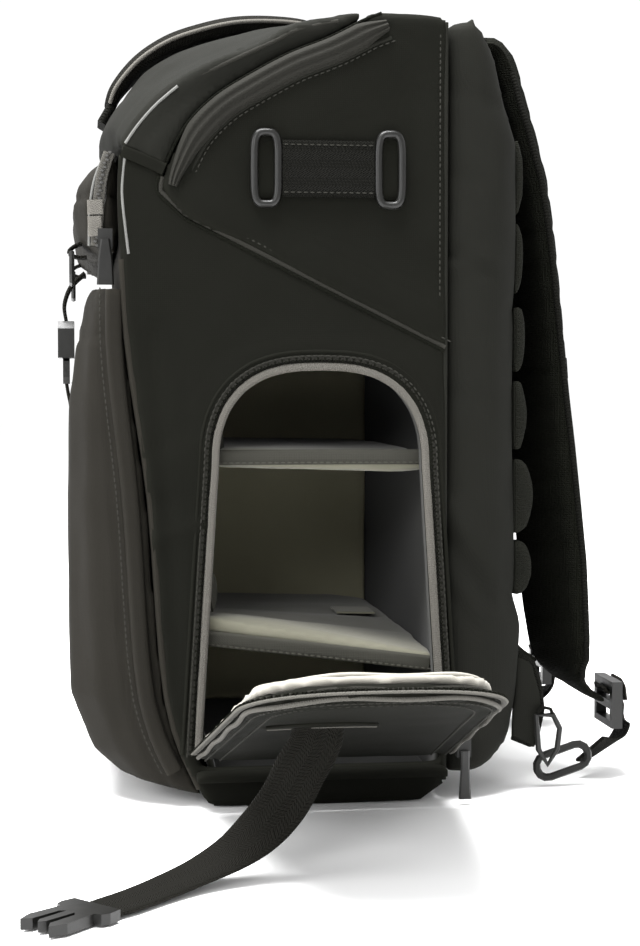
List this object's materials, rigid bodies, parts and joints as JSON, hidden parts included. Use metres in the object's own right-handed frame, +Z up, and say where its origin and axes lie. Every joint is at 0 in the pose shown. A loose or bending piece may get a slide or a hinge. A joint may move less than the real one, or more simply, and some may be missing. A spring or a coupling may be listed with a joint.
{
  "type": "camera backpack",
  "caption": "Upright camera backpack with an arched side access door, padded dividers, hinged top lid, front pockets, shoulder straps and a waist webbing.",
  "frame": {"origin": "centre of the flat base that the bag stands on", "axes": "+Z up; -Y is the front with the pockets, +Y the harness; +X is the wearer's right, the side with the door"},
  "size_m": [0.5272, 0.3541, 0.462],
  "materials": {
    "shell_fabric": "matte",
    "air_mesh": "matte",
    "pocket_fabric": "matte",
    "lining": "matte",
    "divider_fleece": "matte",
    "binding_tape": "matte",
    "webbing": "matte",
    "black_plastic": "satin",
    "ring_metal": "satin",
    "frame_board": "matte"
  },
  "bodies": {
    "root": {"base_panel": "shell_fabric", "front_panel": "shell_fabric", "top_yoke": "shell_fabric", "harness_panel": "shell_fabric", "door_hinge_fold": "shell_fabric", "side_panel_right": "shell_fabric", "upper_side_right": "shell_fabric", "zip_welt_right": "shell_fabric", "corner_wing_right": "shell_fabric", "side_panel_left": "shell_fabric", "upper_side_left": "shell_fabric", "zip_welt_left": "shell_fabric", "corner_wing_left": "shell_fabric", "back_pad_1": "air_mesh", "back_pad_2": "air_mesh", "back_pad_3": "air_mesh", "back_pad_4": "air_mesh", "back_pad_5": "air_mesh", "back_pad_6": "air_mesh", "lower_pocket": "pocket_fabric", "upper_pocket": "pocket_fabric", "compartment_shelf": "lining", "insert_floor": "lining", "insert_far_wall": "lining", "insert_front_wall": "lining", "zip_tape": "binding_tape", "waist_webbing": "webbing", "lash_webbing_right": "webbing", "lash_webbing_left": "webbing", "waist_buckle": "black_plastic", "lash_loop_right_front": "black_plastic", "lash_loop_right_rear": "black_plastic", "lash_loop_left_front": "black_plastic", "lash_loop_left_rear": "black_plastic", "frame_sheet": "frame_board"},
    "side_door": {"side_door": "shell_fabric", "door_lip": "binding_tape"},
    "door_slider": {"door_slider": "ring_metal"},
    "door_pull": {"door_pull": "black_plastic"},
    "top_lid": {"top_lid": "shell_fabric"},
    "top_handle": {"top_handle": "webbing"},
    "upper_divider": {"upper_divider": "divider_fleece"},
    "lower_divider": {"lower_divider": "divider_fleece"},
    "pocket_slider": {"pocket_slider": "ring_metal"},
    "pocket_pull": {"pocket_pull": "black_plastic"},
    "closing_strap": {"closing_strap": "webbing", "buckle_socket": "black_plastic"},
    "buckle_tongue": {"buckle_tongue": "black_plastic"},
    "front_ring_right": {"front_ring_right": "ring_metal"},
    "shoulder_strap_right": {"shoulder_strap_right": "air_mesh", "strap_adjuster_right": "black_plastic", "lower_webbing_right": "webbing"},
    "snap_hook_right": {"snap_hook_right": "ring_metal"},
    "corner_ring_right": {"corner_ring_right": "ring_metal"},
    "front_ring_left": {"front_ring_left": "ring_metal"},
    "shoulder_strap_left": {"shoulder_strap_left": "air_mesh", "strap_adjuster_left": "black_plastic", "lower_webbing_left": "webbing"},
    "snap_hook_left": {"snap_hook_left": "ring_metal"},
    "corner_ring_left": {"corner_ring_left": "ring_metal"}
  },
  "joints": [
    {"name": "side_door_hinge", "type": "hinge", "parent": "root", "child": "side_door", "pos_m": [0.157, 0, 0.024], "axis": [0, 1, 0], "range_deg": [-72, 22], "deforming": ["waist_webbing"]},
    {"name": "door_slider_slide", "type": "slide", "parent": "root", "child": "door_slider", "axis": [0, -0.0624, 0.9981], "range_m": [0, 0.14]},
    {"name": "door_pull_swing", "type": "hinge", "parent": "door_slider", "child": "door_pull", "pos_m": [0.1542, 0.08, 0.03], "axis": [0, 1, 0], "range_deg": [-120, 0]},
    {"name": "top_lid_hinge", "type": "hinge", "parent": "root", "child": "top_lid", "pos_m": [0, -0.12, 0.367], "axis": [1, 0, 0], "range_deg": [0, 95]},
    {"name": "top_handle_tilt", "type": "hinge", "parent": "top_lid", "child": "top_handle", "pos_m": [0, -0.1135, 0.408], "axis": [0, 0.919, 0.3943], "range_deg": [-12, 12]},
    {"name": "upper_divider_slide", "type": "slide", "parent": "root", "child": "upper_divider", "axis": [0, 0, 1], "range_m": [-0.035, 0.04]},
    {"name": "lower_divider_slide", "type": "slide", "parent": "root", "child": "lower_divider", "axis": [0, 0, 1], "range_m": [-0.035, 0.04]},
    {"name": "pocket_slider_slide", "type": "slide", "parent": "root", "child": "pocket_slider", "axis": [0, 0, 1], "range_m": [0, 0.05]},
    {"name": "pocket_pull_swing", "type": "hinge", "parent": "pocket_slider", "child": "pocket_pull", "pos_m": [0.1351, -0.1185, 0.315], "axis": [0, 1, 0], "range_deg": [-90, 0]},
    {"name": "closing_strap_swing", "type": "hinge", "parent": "root", "child": "closing_strap", "pos_m": [0, -0.1307, 0.303], "axis": [1, 0, 0], "range_deg": [-80, 0]},
    {"name": "buckle_tongue_slide", "type": "slide", "parent": "closing_strap", "child": "buckle_tongue", "axis": [0, 0, -1], "range_m": [0, 0.02]},
    {"name": "front_ring_right_swing", "type": "hinge", "parent": "root", "child": "front_ring_right", "pos_m": [0.088, -0.137, 0.31], "axis": [1, 0, 0], "range_deg": [-90, 0]},
    {"name": "shoulder_strap_right_swing", "type": "hinge", "parent": "root", "child": "shoulder_strap_right", "pos_m": [0.075, 0.101, 0.433], "axis": [1, 0, 0], "range_deg": [0, 60]},
    {"name": "snap_hook_right_swivel", "type": "hinge", "parent": "shoulder_strap_right", "child": "snap_hook_right", "pos_m": [0.114, 0.147, 0.0145], "axis": [0, 0.9511, 0.309], "range_deg": [-60, 60]},
    {"name": "corner_ring_right_swing", "type": "hinge", "parent": "root", "child": "corner_ring_right", "pos_m": [0.126, 0.133, 0.044], "axis": [0, 1, 0], "range_deg": [-70, 0]},
    {"name": "front_ring_left_swing", "type": "hinge", "parent": "root", "child": "front_ring_left", "pos_m": [-0.088, -0.137, 0.31], "axis": [1, 0, 0], "range_deg": [-90, 0]},
    {"name": "shoulder_strap_left_swing", "type": "hinge", "parent": "root", "child": "shoulder_strap_left", "pos_m": [-0.075, 0.101, 0.433], "axis": [1, 0, 0], "range_deg": [0, 60]},
    {"name": "snap_hook_left_swivel", "type": "hinge", "parent": "shoulder_strap_left", "child": "snap_hook_left", "pos_m": [-0.114, 0.147, 0.0145], "axis": [0, 0.9511, 0.309], "range_deg": [-60, 60]},
    {"name": "corner_ring_left_swing", "type": "hinge", "parent": "root", "child": "corner_ring_left", "pos_m": [-0.126, 0.133, 0.044], "axis": [0, 1, 0], "range_deg": [0, 70]}
  ]
}
